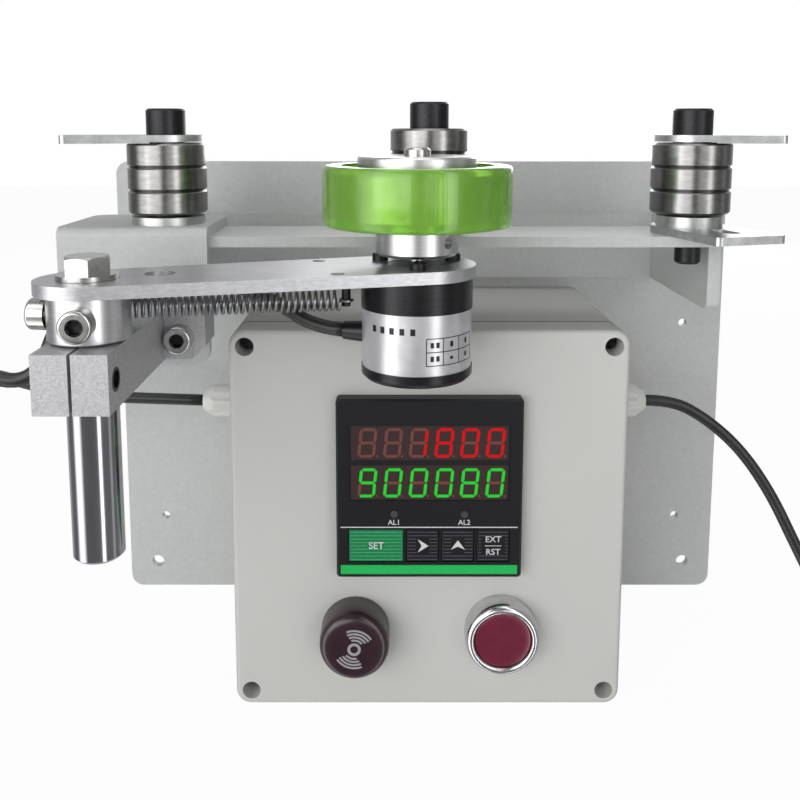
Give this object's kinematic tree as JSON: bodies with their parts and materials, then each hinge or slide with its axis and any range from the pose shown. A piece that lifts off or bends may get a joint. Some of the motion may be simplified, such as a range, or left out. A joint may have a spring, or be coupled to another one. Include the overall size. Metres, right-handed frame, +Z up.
{
  "type": "cable length counter",
  "caption": "Cable length counter: a control box with digital meter on a steel plate, bearing guide rollers and a sprung measuring wheel with encoder.",
  "frame": {"origin": "centre of the control box's foot face, on the surface that it stands on", "axes": "+X to the right along the back plate, +Y back through the plate, +Z up; the front faces -Y"},
  "size_m": [0.5067, 0.281, 0.242],
  "materials": {
    "frame_paint": "light grey powder coat",
    "box_plastic": "moulded ABS",
    "gasket_rubber": "moulded",
    "zinc_screw": "zinc plated",
    "gland_nylon": "moulded nylon",
    "black_plastic": "moulded",
    "meter_glass": "tinted window",
    "key_green": "printed",
    "buzzer_plastic": "translucent moulded",
    "barrel_plastic": "moulded",
    "button_metal": "chromed",
    "button_collar": "moulded",
    "button_red": "moulded",
    "bearing_steel": "ground steel",
    "black_steel": "black oxide",
    "wheel_urethane": "translucent polyurethane",
    "machined_aluminium": "turned and milled",
    "stainless": "stainless",
    "encoder_black": "anodised black",
    "spring_steel": "spring wire",
    "cord_black": "PVC sheath"
  },
  "bodies": {
    "frame": {"back_plate": "frame_paint", "box_body": "box_plastic", "box_lid": "box_plastic", "box_screws": "zinc_screw", "button_bezel": "button_metal", "button_body": "button_collar", "buzzer_barrel": "barrel_plastic", "buzzer_cap": "buzzer_plastic", "clamp_and_collar_screws": "stainless", "clamp_block": "machined_aluminium", "encoder_lead": "cord_black", "gland_left": "gland_nylon", "gland_right": "gland_nylon", "inner_rings": "bearing_steel", "lid_gasket": "gasket_rubber", "mains_coil": "cord_black", "mains_lead": "cord_black", "mains_plug": "cord_black", "meter_bezel": "black_plastic", "meter_case": "black_plastic", "meter_window": "meter_glass", "panel_fasteners": "barrel_plastic", "pivot_bolt": "zinc_screw", "pivot_post": "stainless", "post_bracket": "frame_paint", "post_collar": "machined_aluminium", "side_plates": "frame_paint", "stack_screws": "black_steel", "stack_spacers": "zinc_screw", "tab_low_right": "zinc_screw", "tabs_top": "zinc_screw", "tension_spring": "spring_steel", "top_bar": "frame_paint", "web_plate": "frame_paint"},
    "arm": {"arm_plate": "machined_aluminium", "arm_screws": "stainless", "encoder_flange": "encoder_black", "encoder_body": "machined_aluminium", "encoder_cap": "black_plastic", "encoder_lead_arm": "cord_black"},
    "wheel": {"wheel_tyre": "wheel_urethane", "wheel_hub": "machined_aluminium", "hub_screws": "stainless", "encoder_shaft": "stainless"},
    "button": {"button_cap": "button_red"},
    "key_set_press": {"key_set": "key_green"},
    "key_right_press": {"key_right": "black_plastic"},
    "key_up_press": {"key_up": "black_plastic"},
    "key_reset_press": {"key_reset": "black_plastic"},
    "roller_centre_1_ring": {"roller_centre_1": "bearing_steel"},
    "roller_centre_2_ring": {"roller_centre_2": "bearing_steel"},
    "roller_centre_3_ring": {"roller_centre_3": "bearing_steel"},
    "roller_centre_4_ring": {"roller_centre_4": "bearing_steel"},
    "roller_left_1_ring": {"roller_left_1": "bearing_steel"},
    "roller_left_2_ring": {"roller_left_2": "bearing_steel"},
    "roller_left_3_ring": {"roller_left_3": "bearing_steel"},
    "roller_right_1_ring": {"roller_right_1": "bearing_steel"},
    "roller_right_2_ring": {"roller_right_2": "bearing_steel"},
    "roller_right_3_ring": {"roller_right_3": "bearing_steel"}
  },
  "joints": [
    {"name": "arm_swing", "type": "hinge", "parent": "frame", "child": "arm", "pos_m": [-0.1075, -0.112, 0.1848], "axis": [0, 0, -1], "range_deg": [0, 35], "stiffness_Nm_per_rad": 0.5, "springref_deg": -11.46, "deforming": ["tension_spring"]},
    {"name": "wheel_spin", "type": "hinge", "parent": "arm", "child": "wheel", "pos_m": [-0.006, -0.08185, 0.21], "axis": [0, 0, 1], "continuous": true},
    {"name": "button_press", "type": "slide", "parent": "frame", "child": "button", "axis": [0, 1, 0], "range_m": [0, 0.003], "stiffness_N_per_m": 300, "springref_m": -0.002},
    {"name": "key_set_travel", "type": "slide", "parent": "frame", "child": "key_set_press", "axis": [0, 1, 0], "range_m": [0, 0.0006], "stiffness_N_per_m": 500, "springref_m": -0.001},
    {"name": "key_right_travel", "type": "slide", "parent": "frame", "child": "key_right_press", "axis": [0, 1, 0], "range_m": [0, 0.0006], "stiffness_N_per_m": 500, "springref_m": -0.001},
    {"name": "key_up_travel", "type": "slide", "parent": "frame", "child": "key_up_press", "axis": [0, 1, 0], "range_m": [0, 0.0006], "stiffness_N_per_m": 500, "springref_m": -0.001},
    {"name": "key_reset_travel", "type": "slide", "parent": "frame", "child": "key_reset_press", "axis": [0, 1, 0], "range_m": [0, 0.0006], "stiffness_N_per_m": 500, "springref_m": -0.001},
    {"name": "roller_centre_1_spin", "type": "hinge", "parent": "frame", "child": "roller_centre_1_ring", "pos_m": [0, -0.035, 0.2], "axis": [0, 0, 1], "continuous": true},
    {"name": "roller_centre_2_spin", "type": "hinge", "parent": "frame", "child": "roller_centre_2_ring", "pos_m": [0, -0.035, 0.2], "axis": [0, 0, 1], "continuous": true},
    {"name": "roller_centre_3_spin", "type": "hinge", "parent": "frame", "child": "roller_centre_3_ring", "pos_m": [0, -0.035, 0.2], "axis": [0, 0, 1], "continuous": true},
    {"name": "roller_centre_4_spin", "type": "hinge", "parent": "frame", "child": "roller_centre_4_ring", "pos_m": [0, -0.035, 0.2], "axis": [0, 0, 1], "continuous": true},
    {"name": "roller_left_1_spin", "type": "hinge", "parent": "frame", "child": "roller_left_1_ring", "pos_m": [-0.1015, -0.035, 0.2], "axis": [0, 0, 1], "continuous": true},
    {"name": "roller_left_2_spin", "type": "hinge", "parent": "frame", "child": "roller_left_2_ring", "pos_m": [-0.1015, -0.035, 0.2], "axis": [0, 0, 1], "continuous": true},
    {"name": "roller_left_3_spin", "type": "hinge", "parent": "frame", "child": "roller_left_3_ring", "pos_m": [-0.1015, -0.035, 0.2], "axis": [0, 0, 1], "continuous": true},
    {"name": "roller_right_1_spin", "type": "hinge", "parent": "frame", "child": "roller_right_1_ring", "pos_m": [0.1015, -0.035, 0.2], "axis": [0, 0, 1], "continuous": true},
    {"name": "roller_right_2_spin", "type": "hinge", "parent": "frame", "child": "roller_right_2_ring", "pos_m": [0.1015, -0.035, 0.2], "axis": [0, 0, 1], "continuous": true},
    {"name": "roller_right_3_spin", "type": "hinge", "parent": "frame", "child": "roller_right_3_ring", "pos_m": [0.1015, -0.035, 0.2], "axis": [0, 0, 1], "continuous": true}
  ]
}
